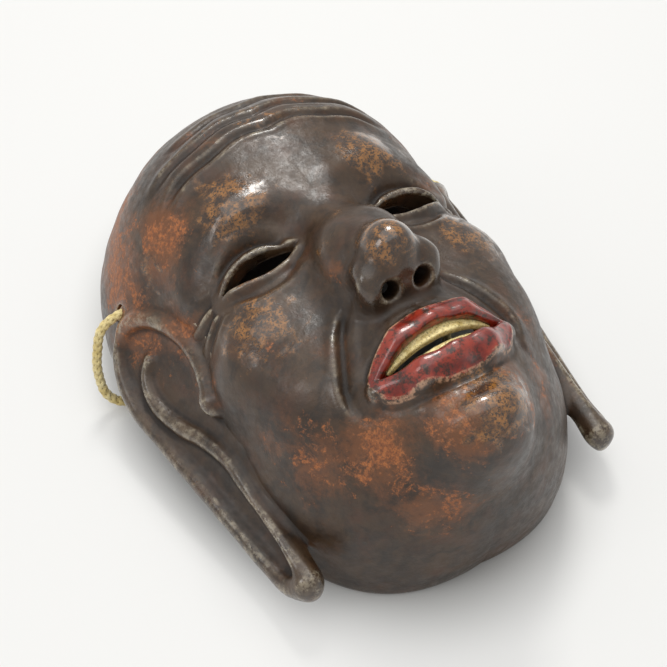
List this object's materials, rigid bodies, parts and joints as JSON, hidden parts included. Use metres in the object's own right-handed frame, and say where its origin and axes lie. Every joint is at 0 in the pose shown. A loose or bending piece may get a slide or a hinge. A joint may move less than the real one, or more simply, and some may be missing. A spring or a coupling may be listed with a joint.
{
  "type": "noh mask",
  "caption": "Carved and lacquered wooden face mask with long separate ears, gilt teeth, eye slits, a deep hollow back and a loose hanging cord.",
  "frame": {"origin": "middle of the mask on the plane its back rim rests on", "axes": "+Z out of the face, +Y to the crown, +X to the viewer's right as seen from in front of the face"},
  "size_m": [0.1712, 0.2245, 0.1169],
  "materials": {
    "lacquered_wood": "aged dark brown lacquer on carved wood, rubbed through to a rust-coloured ground, with semi-gloss high points and vermilion lips",
    "gilt": "worn pale gold leaf, satin",
    "cord": "matte pale yellow braided cord"
  },
  "bodies": {
    "root": {"mask_shell": "lacquered_wood", "left_ear": "lacquered_wood", "right_ear": "lacquered_wood", "upper_teeth": "gilt", "lower_teeth": "gilt", "hanging_cord": "cord", "left_knot": "cord", "right_knot": "cord"}
  },
  "joints": []
}
